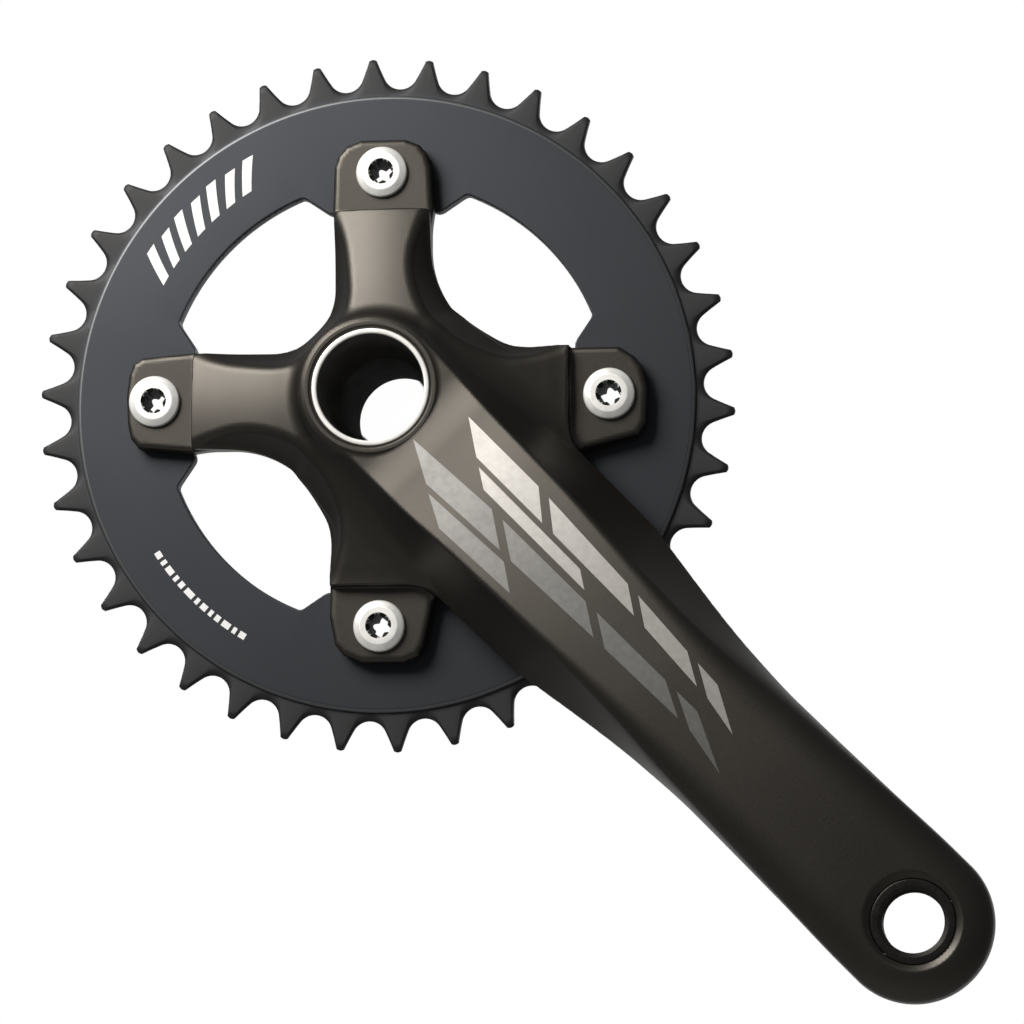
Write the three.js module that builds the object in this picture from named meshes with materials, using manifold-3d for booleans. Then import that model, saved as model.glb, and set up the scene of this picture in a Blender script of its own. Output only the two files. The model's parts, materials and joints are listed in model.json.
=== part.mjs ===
// Bicycle crankset, drive side: forged hollow arm with a four-arm spider, its through spindle,
// a 38-tooth chainring with its bolts and sleeve nuts, and the external-cup bottom bracket it turns in.
// Millimetres. +X forward, +Y towards the left of the bicycle, +Z up.
// The origin is on the spindle axis at the middle of the bottom-bracket shell.
import * as THREE from 'three';
import { mergeVertices } from 'three/addons/utils/BufferGeometryUtils.js';
import Module from 'manifold-3d';

// ---------- driving dimensions ----------
const CRANK_LENGTH = 170;        // spindle axis to pedal axis
const ARM_ANGLE = -45;           // stored angle of the arm below +X, degrees
const BCD = 104;                 // chainring bolt circle
const TEETH = 38;
const PITCH = 12.7;              // chain pitch
const ROLLER_D = 7.75;           // chain roller
const TOOTH_PHASE = -2.37;       // angle of the first tooth, degrees
const CHAINLINE = 50;            // ring mid-plane to bicycle mid-plane
const RING_T = 4.0;              // ring body thickness
const TOOTH_T = 2.1;             // tooth thickness
const RING_STEP_R = 70.7;        // edge of the thick ring body
const RING_IN_R = 51.2;          // inner edge between tabs
const RING_TAB_R = 45;           // inner edge at the bolt tabs
const GAP = 0.3;                 // clearance kept between touching pieces

const HUB_FACE_Y = -73.3;        // outer face of the hub boss
const HUB_R = 16.5;
const HUB_BACK_Y = -50.6;        // inner face of the hub, next to the bearing
const SPIDER_BACK_Y = -52.3;
const TAB_FRONT_Y = -57.0;
const TAB_STEP_R = 43;
const TOOTH_TIP = 3.0;           // tooth tip beyond the pitch circle
// Bolt tab outlines as [distance along the spider arm, distance across it].
const TAB_TOP = [[38, 10.8], [43, 11.4], [53.4, 11.1], [56.1, 10.3], [58.4, 8.3], [59.7, 5.0], [59.7, -5.3], [58.4, -8.5], [56.1, -10.3], [52.9, -11.2], [43, -11.8], [38, -10.9]];
const TAB_REAR = [[38, 10.8], [43.2, 11.3], [55.0, 10.3], [57.2, 9.0], [58.2, 6.2], [58.7, 1.7], [58.4, -5.1], [57.6, -8.4], [55.8, -10.5], [43, -11.7], [38, -10.9]];
const TAB_BOTTOM = [[38, 12.4], [44, 12.3], [48.3, 11.9], [56.0, 10.2], [58.7, 8.8], [60.1, 5.5], [60.1, -4.1], [58.2, -8.4], [56.1, -10.2], [49.8, -11.5], [43.4, -11.4], [38, -10.8]];
const TAB_FRONT = [[38, 11.8], [43.8, 12.0], [47.2, 12.2], [58.6, 9.2], [60.2, 6.4], [60.6, -1.3], [59.4, -6.2], [57.7, -8.6], [54.2, -10.9], [43.6, -10.9], [38, -10.6]];

const SPINDLE_R = 12.0;          // 24 mm spindle
const SPINDLE_BORE_R = 10.3;
const FLARE_R = 13.35;
const FLARE_BORE_R = 11.9;
const SPINDLE_OUT_Y = -73.0;
const SPINDLE_IN_Y = 66;

const PEDAL_OUT_Y = -86;         // pedal boss outer face
const PEDAL_IN_Y = -73;          // pedal boss inner face, where the pedal axle shoulder seats
const PEDAL_HOLE_R = 6.5;        // 9/16 x 20 thread, minor radius
const PEDAL_INSERT_R = 9.2;
const PEDAL_BOSS_R = 17.5;

const SHELL_W = 73;              // bottom-bracket shell width
const SPACER_T = 2.5;            // drive-side spacer
const CUP_R = 20.5;
const FLANGE_T = 10.5;
const THREAD_R = 17.35;          // 34.8 mm cup thread
const THREAD_L = 11;

// ---------- solids ----------
const wasm = await Module();
wasm.setup();
const { Manifold, Mesh: WMesh } = wasm;

function solid(geometry) {
  const g0 = geometry.index ? geometry.clone() : geometry.clone();
  g0.deleteAttribute('normal'); g0.deleteAttribute('uv');
  const g = mergeVertices(g0, 1e-4);
  const p = g.attributes.position.array, idx = [];
  const I = g.index.array;
  let vol = 0;
  for (let i = 0; i < I.length; i += 3) {
    const [a, b, c] = [I[i], I[i + 1], I[i + 2]];
    if (a === b || b === c || a === c) continue;
    idx.push(a, b, c);
    const A = [p[3 * a], p[3 * a + 1], p[3 * a + 2]], B = [p[3 * b], p[3 * b + 1], p[3 * b + 2]], C = [p[3 * c], p[3 * c + 1], p[3 * c + 2]];
    vol += A[0] * (B[1] * C[2] - B[2] * C[1]) - A[1] * (B[0] * C[2] - B[2] * C[0]) + A[2] * (B[0] * C[1] - B[1] * C[0]);
  }
  if (vol < 0) for (let i = 0; i < idx.length; i += 3) { const t = idx[i + 1]; idx[i + 1] = idx[i + 2]; idx[i + 2] = t; }
  return new Manifold(new WMesh({ numProp: 3, vertProperties: new Float32Array(p), triVerts: new Uint32Array(idx) }));
}
// Turned profile about the spindle axis (Y): list of [radius, y], closed on itself or ending on the axis.
function turned(profile, segments = 48) {
  const pts = profile.map(([r, y]) => new THREE.Vector2(r, y));
  if (profile[0][0] > 1e-6) pts.push(pts[0].clone());
  return solid(new THREE.LatheGeometry(pts, segments));
}
const ring = (ri, ro, y0, y1, n = 48) => turned([[ri, y0], [ro, y0], [ro, y1], [ri, y1]], n);
const disc = (r, y0, y1, n = 48) => turned([[0, y0], [r, y0], [r, y1], [0, y1]], n);
// Flat outline in the X-Z plane, from y0 to y1.
function plate(points, y0, y1, holes = []) {
  const shape = new THREE.Shape(points.map(([x, z]) => new THREE.Vector2(x, z)));
  for (const h of holes) shape.holes.push(new THREE.Path(h.map(([x, z]) => new THREE.Vector2(x, z))));
  const g = new THREE.ExtrudeGeometry(shape, { depth: y1 - y0, bevelEnabled: false, steps: 1 });
  g.applyMatrix4(new THREE.Matrix4().makeRotationX(Math.PI / 2)); // (x, y, z) -> (x, -z, y)
  g.translate(0, y1, 0);
  return solid(g);
}
// Loft through rings of equal point count, capped at both ends.
function loft(rings) {
  const n = rings[0].length, pos = [], idx = [];
  for (const r of rings) for (const p of r) pos.push(...p);
  for (let k = 0; k < rings.length - 1; k++) for (let i = 0; i < n; i++) {
    const a = k * n + i, b = k * n + (i + 1) % n, c = a + n, d = b + n;
    idx.push(a, b, d, a, d, c);
  }
  for (const k of [0, rings.length - 1]) {
    const c = pos.length / 3, m = [0, 0, 0];
    for (const p of rings[k]) for (let j = 0; j < 3; j++) m[j] += p[j] / n;
    pos.push(...m);
    for (let i = 0; i < n; i++) {
      const a = k * n + i, b = k * n + (i + 1) % n;
      if (k === 0) idx.push(b, a, c); else idx.push(a, b, c);
    }
  }
  const g = new THREE.BufferGeometry();
  g.setAttribute('position', new THREE.Float32BufferAttribute(pos, 3));
  g.setIndex(idx);
  return solid(g);
}
const rotY = (deg) => (m) => m.rotate([0, deg, 0]);   // turns X towards -Z for positive angles
const at = (m, x, y, z) => m.translate([x, y, z]);
const rad = Math.PI / 180;
const lerp = (x, xs, ys) => {
  if (x <= xs[0]) return ys[0];
  for (let i = 1; i < xs.length; i++) if (x <= xs[i]) return ys[i - 1] + (ys[i] - ys[i - 1]) * (x - xs[i - 1]) / (xs[i] - xs[i - 1]);
  return ys[ys.length - 1];
};
const unite = (list) => list.reduce((a, b) => a.add(b));

// ---------- crank arm ----------
// Along the arm: u from the spindle axis, v across, both in the X-Z plane.
const U = [Math.cos(ARM_ANGLE * rad), Math.sin(ARM_ANGLE * rad)];
const V = [-U[1], U[0]];
const xz = (u, v, y) => [U[0] * u + V[0] * v, y, U[1] * u + V[1] * v];
const PEDAL_X = U[0] * CRANK_LENGTH, PEDAL_Z = U[1] * CRANK_LENGTH;

const topY = (u) => lerp(u, [0, 11, 22, 40, 60, 80, 110, 150, 172], [-72.9, -73.1, -74.4, -77.2, -79.8, -81.8, -84.0, -85.6, -85.9]);
const botY = (u) => lerp(u, [0, 40, 50, 84, 128, 156, 200], [SPIDER_BACK_Y, SPIDER_BACK_Y, -55.6, -56.4, -66.4, -73, -73]);
const topHalf = (u) => lerp(u, [0, 10, 26, 46, 70, 94, 107, 133, 150, 165], [15.9, 15.6, 14.6, 14.1, 12.9, 11.6, 11.6, 12.4, 13.2, 13.6]);
const baseHalf = (u) => lerp(u, [0, 12, 41, 66, 72, 83, 102, 118, 145, 165, 172], [25.6, 24.4, 22.7, 22.4, 21.4, 19.9, 17.7, 16.8, 17.2, 17.5, 17.5]);

function armSection(u) {
  const t = topY(u), b = botY(u), w = topHalf(u), W = baseHalf(u), h = b - t;
  const blend = lerp(u, [0, 90, 140], [0, 0, 1]);
  const shoulder = w + (W - w) * (0.28 + 0.5 * blend);   // upper part of the flank
  const yb = b - 3.2, ys = t + h * (0.42 - 0.2 * blend);
  const half = [[w - 3.5, t], [w, t + 0.7], [shoulder, ys], [W, yb - 1.5], [W, yb + 0.6], [W - 2.6, b]];
  const pts = half.map(([v, y]) => xz(u, v, y)).concat(half.slice().reverse().map(([v, y]) => xz(u, -v, y)));
  return pts;
}
const stations = [0, 10, 20, 30, 41, 50, 60, 72, 84, 96, 108, 120, 134, 148, 160, 169];
const lever = loft(stations.map(armSection));
const pedalBoss = at(turned([[0, PEDAL_OUT_Y], [12.4, PEDAL_OUT_Y], [14.6, -84.6], [16.9, -81.8], [PEDAL_BOSS_R, -79], [PEDAL_BOSS_R, -75.2], [15.4, PEDAL_IN_Y], [0, PEDAL_IN_Y]], 36), PEDAL_X, 0, PEDAL_Z);

// hub boss with its sloping skirt and the raised inner boss beside the bearing
const hub = turned([[0, HUB_FACE_Y], [15.6, HUB_FACE_Y], [HUB_R, HUB_FACE_Y + 0.9], [17.4, -68], [19.2, -62], [20.8, -57.6], [20.8, SPIDER_BACK_Y], [16.4, SPIDER_BACK_Y], [16.4, HUB_BACK_Y], [0, HUB_BACK_Y]], 36);

// one spider arm, modelled pointing along +X: ridge with scooped sides, then the flat bolt tab
function spiderArm(tabOutline, side) {
  const st = [[8, 8.2, -67.2], [18, 6.8, -66.2], [24, 6.3, -64.6], [31, 6.2, -62.9], [37, 7.8, -61.5], [41, 9.8, -60.6], [TAB_STEP_R, 10.5, -60.2]];
  const arm = loft(st.map(([r, w, y]) => {
    const B = 11.3, s = lerp(r, [25, 43], [-55.4, -57.6]);
    return [[r, y, w], [r, s, B - 0.6], [r, s + 0.8, B], [r, SPIDER_BACK_Y, B], [r, SPIDER_BACK_Y, -B], [r, s + 0.8, -B], [r, s, -B + 0.6], [r, y, -w]];
  }));
  return arm.add(plate(tabOutline.map(([s, t]) => [s, side * t]), TAB_FRONT_Y, SPIDER_BACK_Y));
}
// web between the spider arms: an outline with concave fillets
const web = (() => {
  const pts = [];
  const fillet = (a0, r, half) => {           // corner between the arms on either side of the diagonal a0
    const c = half + r;                        // fillet centre on the diagonal, in arm axes
    for (let i = 0; i <= 6; i++) {
      const t = (i / 6) * 90;
      const x = c - r * Math.sin(t * rad), z = c - r * Math.cos(t * rad);
      const q = (a0 - 45) * rad;
      pts.push([x * Math.cos(q) - z * Math.sin(q), x * Math.sin(q) + z * Math.cos(q)]);
    }
  };
  const B = 11.3;
  fillet(45, 21, B); fillet(135, 9.5, B); fillet(225, 21, B); fillet(315, 21, B);
  return pts;
})();
const webPlate = plate(web, -57.2, SPIDER_BACK_Y);

const SPIDER = [[0, TAB_FRONT, -1], [90, TAB_BOTTOM, 1], [180, TAB_REAR, -1], [270, TAB_TOP, 1]];   // front, bottom, rear, top
let armSolid = unite([lever, pedalBoss, hub, webPlate, ...SPIDER.map(([a, tab, side]) => rotY(a)(spiderArm(tab, side)))]);
armSolid = armSolid.subtract(disc(FLARE_R + GAP, -80, -49, 36));
for (const a of [0, 90, 180, 270]) armSolid = armSolid.subtract(at(disc(5.4, -60, -50, 16), BCD / 2 * Math.cos(a * rad), 0, BCD / 2 * Math.sin(a * rad)));
armSolid = armSolid.subtract(at(turned([[0, -87], [11.6, -87], [11.6, -85.2], [PEDAL_INSERT_R + GAP, -84.6], [PEDAL_INSERT_R + GAP, -72], [0, -72]], 24), PEDAL_X, 0, PEDAL_Z));

// ---------- pedal thread insert ----------
const pedalInsert = at(turned([[PEDAL_HOLE_R + 0.5, -85], [PEDAL_INSERT_R, -85], [PEDAL_INSERT_R, -73.2], [PEDAL_HOLE_R + 0.8, -73.2], [PEDAL_HOLE_R, -74.2], [PEDAL_HOLE_R, -84.4]], 24), PEDAL_X, 0, PEDAL_Z);

// ---------- spindle ----------
const splineTeeth = 16;
const splinePts = [];
for (let i = 0; i < splineTeeth; i++) for (const [f, r] of [[0, 11.35], [0.3, 11.35], [0.45, 11.9], [0.85, 11.9]]) {
  const a = (i + f) / splineTeeth * 2 * Math.PI; splinePts.push([r * Math.cos(a), r * Math.sin(a)]);
}
let spindle = turned([[FLARE_BORE_R + 0.4, SPINDLE_OUT_Y], [FLARE_R - 0.3, SPINDLE_OUT_Y], [FLARE_R, SPINDLE_OUT_Y + 0.3], [FLARE_R, -53.4], [SPINDLE_R, -51.4], [SPINDLE_R, 48], [11.2, 49.2], [11.2, 65.4], [10.9, SPINDLE_IN_Y],
  [SPINDLE_BORE_R, SPINDLE_IN_Y], [SPINDLE_BORE_R, -50], [FLARE_BORE_R, -55], [FLARE_BORE_R, SPINDLE_OUT_Y + 0.5]], 32);
spindle = spindle.add(plate(splinePts, 49.6, 65).subtract(disc(11.0, 40, 70)));

// ---------- chainring ----------
const Rp = PITCH / 2 / Math.sin(Math.PI / TEETH);     // pitch radius
const ringOutline = (() => {
  const pts = [], tip = Rp + TOOTH_TIP, seat = ROLLER_D / 2 + 0.1;
  for (let i = 0; i < TEETH; i++) {
    const c = (i * 360 / TEETH + TOOTH_PHASE) * rad, h = Math.PI / TEETH;
    // tooth: root arc mid, flank, tip, flank
    const P = (a, r) => [r * Math.cos(c + a), r * Math.sin(c + a)];
    pts.push(P(-h, Rp - seat), P(-h * 0.56, Rp - seat * 0.7), P(-h * 0.12, tip), P(h * 0.12, tip), P(h * 0.56, Rp - seat * 0.7));
  }
  return pts;
})();
const ringInner = (() => {
  const pts = [];
  for (let k = 0; k < 4; k++) {
    const b = k * 90, P = (a, r) => [r * Math.cos((b + a) * rad), r * Math.sin((b + a) * rad)];
    pts.push(P(-22.6, RING_IN_R), P(-21.1, RING_IN_R - 0.8), P(-16.8, RING_TAB_R + 0.5), P(-15.6, RING_TAB_R), P(-7, RING_TAB_R), P(0, RING_TAB_R), P(7, RING_TAB_R), P(15.6, RING_TAB_R), P(16.8, RING_TAB_R + 0.5), P(21.1, RING_IN_R - 0.8), P(22.6, RING_IN_R));
    for (const a of [30, 40, 50, 60]) pts.push(P(a, RING_IN_R));
  }
  return pts;
})();
const circle = (r, n) => Array.from({ length: n }, (_, i) => [r * Math.cos(i / n * 2 * Math.PI), r * Math.sin(i / n * 2 * Math.PI)]);
const RF = -CHAINLINE - RING_T / 2, RB = -CHAINLINE + RING_T / 2;
const toothDisc = plate(ringOutline, -CHAINLINE - TOOTH_T / 2, -CHAINLINE + TOOTH_T / 2, [circle(67, 38).reverse()]);
const ringBody = turned([[40, RF], [RING_STEP_R, RF], [RING_STEP_R, RB], [40, RB]], 76).subtract(plate(ringInner, -60, -40));
let chainring = ringBody.add(toothDisc);
for (const a of [0, 90, 180, 270]) {
  const x = BCD / 2 * Math.cos(a * rad), z = BCD / 2 * Math.sin(a * rad);
  chainring = chainring.subtract(at(disc(5.4, -60, -40, 16), x, 0, z)).subtract(at(disc(6.95, RB - 1.3, -40, 16), x, 0, z));
}

// ---------- chainring bolt and sleeve nut, on the axis, then moved to each seat ----------
const lobes = (R, r, n = 6) => { const p = []; for (let i = 0; i < n; i++) { const a = i / n * 2 * Math.PI, s = Math.PI / n; p.push([R * Math.cos(a - 0.22 * s), R * Math.sin(a - 0.22 * s)], [R * Math.cos(a + 0.22 * s), R * Math.sin(a + 0.22 * s)], [r * Math.cos(a + s), r * Math.sin(a + s)]); } return p; };
const HEAD_Y = -59.0;
const boltBase = turned([[0, HEAD_Y], [5.0, HEAD_Y], [5.85, HEAD_Y + 0.55], [5.85, TAB_FRONT_Y - GAP], [4.0, TAB_FRONT_Y - GAP], [4.0, -48.4], [0, -48.4]], 16)
  .subtract(plate(lobes(2.8, 2.05), -60, -47));
const nutBase = turned([[4.3, -56.2], [5.0, -56.2], [5.0, RB - 1.0], [6.55, RB - 1.0], [6.55, RB + 0.15], [4.3, RB + 0.15]], 16);

// ---------- bottom bracket ----------
const SH = SHELL_W / 2;
// one side, written for the left (+Y) side with the flange's inner face at y = f
function cup(f) {
  const o = f + FLANGE_T;
  let m = turned([[15.7, f - THREAD_L], [THREAD_R, f - THREAD_L], [THREAD_R, f], [CUP_R, f], [CUP_R, o - 0.8], [CUP_R - 0.8, o], [18.5, o], [18.5, o - 7.6], [15.7, o - 7.6]], 32);
  const notch = solid(new THREE.BoxGeometry(2.6, FLANGE_T - 2, 3.2).translate(CUP_R + 0.3, f + 2 + (FLANGE_T - 2) / 2 + 0.6, 0));
  for (let i = 0; i < 16; i++) m = m.subtract(notch.rotate([0, i * 22.5 + 11.25, 0]));
  return m;
}
const flipY = (m) => m.rotate([180, 0, 0]);           // left side piece -> right side piece
const outerRace = (o) => turned([[16.7, o - 7.2], [18.2, o - 7.2], [18.2, o - 0.4], [16.7, o - 0.4], [16.7, o - 2.2], [17.45, o - 3.1], [17.45, o - 4.5], [16.7, o - 5.4]], 24);
const innerRace = (o) => turned([[12.95, o - 7.2], [14.3, o - 7.2], [14.3, o - 5.4], [13.6, o - 4.5], [13.6, o - 3.1], [14.3, o - 2.2], [14.3, o - 0.4], [12.95, o - 0.4]], 24);
const ballCage = (o) => {
  const balls = 11, y = o - 3.8;
  let m = ring(14.95, 16.05, y - 0.8, y + 0.8, 22);
  for (let i = 0; i < balls; i++) {
    const a = i / balls * 2 * Math.PI;
    m = m.add(solid(new THREE.SphereGeometry(1.7, 6, 4).translate(15.5 * Math.cos(a), y, 15.5 * Math.sin(a))));
  }
  return m;
};
const seal = (o) => ring(14.7, 18.1, o - 0.05, o + 0.45, 24);
const dustCover = (o) => turned([[12.25, o - 7.2], [12.65, o - 7.2], [12.65, o + 0.0], [14.2, o + 0.0], [14.2, o + 0.7], [12.25, o + 0.7]], 24);
const LEFT_F = SH + 0.1, RIGHT_F = SH + SPACER_T + 0.2;   // flange faces; the spacer sits on the right
const LO = LEFT_F + FLANGE_T, RO = RIGHT_F + FLANGE_T;
const sleeve = turned([[13.9, -31], [15.1, -31], [15.1, -26.6], [14.7, -26.6], [14.7, -25], [15.1, -25], [15.1, -21], [16.4, -19.5], [16.4, 19.5], [15.1, 21], [15.1, 25], [14.7, 25], [14.7, 26.6], [15.1, 26.6], [15.1, 31], [13.9, 31]], 24);
const oRing = (y) => turned([[14.9, y - 0.5], [15.4, y - 0.5], [15.4, y + 0.5], [14.9, y + 0.5]], 24);

// ---------- scene ----------
const group = new THREE.Group();
group.name = 'bicycle_crankset';
const MAT = {
  arm: { color: 0x6b665f, roughness: 0.42, metalness: 0.85 },
  ring: { color: 0x4b4e54, roughness: 0.5, metalness: 0.8 },
  bolt: { color: 0xd9d8d4, roughness: 0.3, metalness: 0.95 },
  steel: { color: 0xc9c8c4, roughness: 0.25, metalness: 1.0 },
  darksteel: { color: 0x26262a, roughness: 0.4, metalness: 0.9 },
  cup: { color: 0x2b2c30, roughness: 0.45, metalness: 0.8 },
  plastic: { color: 0x17181a, roughness: 0.6, metalness: 0.0 },
  rubber: { color: 0x121212, roughness: 0.8, metalness: 0.0 },
  race: { color: 0xb8bcc2, roughness: 0.2, metalness: 1.0 },
};
function addPiece(name, m, mat) {
  const mesh = m.getMesh();
  const g = new THREE.BufferGeometry();
  g.setAttribute('position', new THREE.Float32BufferAttribute(Array.from(mesh.vertProperties), mesh.numProp));
  g.setIndex(Array.from(mesh.triVerts));
  const o = new THREE.Mesh(g, new THREE.MeshStandardMaterial(MAT[mat]));
  o.name = name;
  group.add(o);
}
addPiece('crank_arm', armSolid, 'arm');
addPiece('spindle', spindle, 'steel');
addPiece('pedal_thread_insert', pedalInsert, 'darksteel');
addPiece('chainring', chainring, 'ring');
const SEATS = [['top', 90], ['rear', 180], ['bottom', 270], ['front', 0]];
for (const [n, a] of SEATS) {
  const x = BCD / 2 * Math.cos(a * rad), z = BCD / 2 * Math.sin(a * rad);
  addPiece(`chainring_bolt_${n}`, at(boltBase, x, 0, z), 'bolt');
  addPiece(`chainring_nut_${n}`, at(nutBase, x, 0, z), 'bolt');
}
addPiece('bearing_cup_right', flipY(cup(RIGHT_F)), 'cup');
addPiece('bearing_cup_left', cup(LEFT_F), 'cup');
addPiece('shell_spacer', ring(17.7, CUP_R, -SH - SPACER_T, -SH, 32), 'cup');
addPiece('shell_sleeve', sleeve, 'plastic');
addPiece('sleeve_o_ring_right', oRing(-25.8), 'rubber');
addPiece('sleeve_o_ring_left', oRing(25.8), 'rubber');
addPiece('bearing_outer_race_right', flipY(outerRace(RO)), 'race');
addPiece('bearing_outer_race_left', outerRace(LO), 'race');
addPiece('bearing_inner_race_right', flipY(innerRace(RO)), 'race');
addPiece('bearing_inner_race_left', innerRace(LO), 'race');
addPiece('ball_cage_right', flipY(ballCage(RO)), 'steel');
addPiece('ball_cage_left', ballCage(LO), 'steel');
addPiece('bearing_seal_right', flipY(seal(RO)), 'rubber');
addPiece('bearing_seal_left', seal(LO), 'rubber');
addPiece('spindle_bushing_right', flipY(dustCover(RO)), 'plastic');
addPiece('spindle_bushing_left', dustCover(LO), 'plastic');
export default group;
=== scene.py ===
import json, math
import bpy, bmesh
import numpy as np
from mathutils import Matrix, Vector

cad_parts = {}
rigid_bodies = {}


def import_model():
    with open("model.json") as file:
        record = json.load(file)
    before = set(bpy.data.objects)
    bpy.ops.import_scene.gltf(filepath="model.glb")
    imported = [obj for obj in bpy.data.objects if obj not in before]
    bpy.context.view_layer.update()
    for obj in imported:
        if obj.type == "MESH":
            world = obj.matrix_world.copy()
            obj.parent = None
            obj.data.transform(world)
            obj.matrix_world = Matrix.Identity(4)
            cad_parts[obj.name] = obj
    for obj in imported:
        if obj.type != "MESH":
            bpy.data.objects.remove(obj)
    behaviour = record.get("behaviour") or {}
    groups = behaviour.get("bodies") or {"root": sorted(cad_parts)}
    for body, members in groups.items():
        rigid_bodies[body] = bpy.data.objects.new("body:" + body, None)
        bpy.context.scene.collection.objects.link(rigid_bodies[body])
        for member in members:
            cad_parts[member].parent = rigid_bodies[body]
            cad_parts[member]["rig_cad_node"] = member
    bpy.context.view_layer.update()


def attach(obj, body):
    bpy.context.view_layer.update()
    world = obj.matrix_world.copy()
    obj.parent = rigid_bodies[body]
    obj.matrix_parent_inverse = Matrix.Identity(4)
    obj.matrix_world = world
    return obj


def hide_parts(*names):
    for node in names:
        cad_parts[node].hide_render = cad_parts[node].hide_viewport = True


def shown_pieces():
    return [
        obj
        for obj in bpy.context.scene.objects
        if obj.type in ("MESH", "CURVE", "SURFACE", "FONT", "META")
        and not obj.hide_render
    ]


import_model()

MM = 0.001

# ---------------------------------------------------------------- dimensions (mm, the CAD model's)
L_CRANK, ARM_A, BCD_R = 170.0, math.radians(-45), 52.0
TEETH, PITCH, ROLLER = 38, 12.7, 7.75
PHASE = math.radians(-2.37)
RP = PITCH / 2 / math.sin(math.pi / TEETH)
TIP_R = RP + 2.8
CU, SU = math.cos(ARM_A), math.sin(ARM_A)
PX, PZ = L_CRANK * CU, L_CRANK * SU
SEATS = {"top": 90, "rear": 180, "bottom": 270, "front": 0}

# ---------------------------------------------------------------- studio
WORLD_DIM = 0.14
KEY_AT, KEY_SIZE, KEY_W = (-0.26, -0.41, 0.29), 0.32, 4.8

# ---------------------------------------------------------------- small tools
def link(name, verts, faces, smooth_angle=35.0):
    me = bpy.data.meshes.new(name)
    v = np.asarray(verts, float) * MM
    me.from_pydata(v.tolist(), [], [list(map(int, f)) for f in faces])
    me.validate()
    ob = bpy.data.objects.new(name, me)
    bpy.context.scene.collection.objects.link(ob)
    fix_normals(ob)
    shade(ob, smooth_angle)
    return ob

def fix_normals(ob):
    bm = bmesh.new(); bm.from_mesh(ob.data)
    bmesh.ops.recalc_face_normals(bm, faces=bm.faces)
    if bm.calc_volume(signed=True) < 0:
        bmesh.ops.reverse_faces(bm, faces=bm.faces)
    bm.to_mesh(ob.data); bm.free()

def shade(ob, angle=35.0):
    me = ob.data
    me.polygons.foreach_set("use_smooth", [True] * len(me.polygons))
    bm = bmesh.new(); bm.from_mesh(me)
    lim = math.radians(angle)
    for e in bm.edges:
        e.smooth = not (len(e.link_faces) == 2 and e.calc_face_angle(0.0) > lim)
    bm.to_mesh(me); bm.free()

def weigh(ob):
    """Corner normals weighted by face area, so large flat faces stay flat next to their small bevels."""
    m = ob.modifiers.new("w", "WEIGHTED_NORMAL")
    m.mode, m.weight, m.keep_sharp = "FACE_AREA", 50, True
    dg = bpy.context.evaluated_depsgraph_get()
    me = bpy.data.meshes.new_from_object(ob.evaluated_get(dg))
    ob.modifiers.clear()
    ob.data = me

def rounded(profile, closed=True, n=5):
    """profile: list of (r, y, fillet radius). Returns points with the corners rounded."""
    out, m = [], len(profile)
    for i in range(m):
        r, y, f = profile[i]
        p = np.array([r, y], float)
        if f <= 0 or (not closed and i in (0, m - 1)):
            out.append(tuple(p)); continue
        a = np.array(profile[i - 1][:2], float) - p
        b = np.array(profile[(i + 1) % m][:2], float) - p
        la, lb = np.linalg.norm(a), np.linalg.norm(b)
        a, b = a / la, b / lb
        ang = math.acos(max(-1, min(1, float(a @ b))))
        if ang > math.pi - 0.02:
            out.append(tuple(p)); continue
        t = min(f / math.tan(ang / 2), la * 0.48, lb * 0.48)
        p0, p1 = p + a * t, p + b * t
        for k in range(n + 1):           # quadratic through the corner: a close stand-in for the arc
            s = k / n
            out.append(tuple((1 - s) ** 2 * p0 + 2 * s * (1 - s) * p + s * s * p1))
    return out

def lathe(name, profile, seg=144, closed=True, centre=(0, 0), smooth=35.0):
    """Turned about an axis parallel to Y through centre (x, z). profile: (r, y, fillet)."""
    prof = rounded(profile, closed)
    P = np.array(prof)
    ang = np.linspace(0, 2 * np.pi, seg, endpoint=False)
    c, s = np.cos(ang), np.sin(ang)
    verts, faces, n = [], [], len(P)
    axis = [i for i in range(n) if P[i, 0] < 1e-6]
    idx = {}
    for i in range(n):
        if i in axis:
            idx[i] = [len(verts)] * seg
            verts.append((centre[0], P[i, 1], centre[1]))
        else:
            idx[i] = list(range(len(verts), len(verts) + seg))
            for k in range(seg):
                verts.append((centre[0] + P[i, 0] * c[k], P[i, 1], centre[1] + P[i, 0] * s[k]))
    pairs = [(i, (i + 1) % n) for i in range(n if closed else n - 1)]
    for i, j in pairs:
        if i in axis and j in axis:
            continue
        for k in range(seg):
            k2 = (k + 1) % seg
            q = [idx[i][k], idx[j][k], idx[j][k2], idx[i][k2]]
            u = []
            for w in q:
                if w not in u:
                    u.append(w)
            if len(u) > 2:
                faces.append(u)
    return link(name, verts, faces, smooth)

def boolean(a, b, op="DIFFERENCE"):
    m = a.modifiers.new("b", "BOOLEAN")
    m.operation, m.object, m.solver = op, b, "EXACT"
    dg = bpy.context.evaluated_depsgraph_get()
    me = bpy.data.meshes.new_from_object(a.evaluated_get(dg))
    a.modifiers.clear()
    a.data = me
    bpy.data.objects.remove(b)

def prism(name, poly, y0, y1, centre=(0, 0)):
    """Extruded outline in X-Z. poly: list of (x, z)."""
    n = len(poly)
    v = [(centre[0] + x, y0, centre[1] + z) for x, z in poly] + [(centre[0] + x, y1, centre[1] + z) for x, z in poly]
    f = [[i, (i + 1) % n, n + (i + 1) % n, n + i] for i in range(n)] + [list(range(n))[::-1], list(range(n, 2 * n))]
    return link(name, v, f)

# ---------------------------------------------------------------- forged arm as a signed field
def sstep(x):
    x = np.clip(x, 0, 1); return x * x * (3 - 2 * x)

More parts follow.
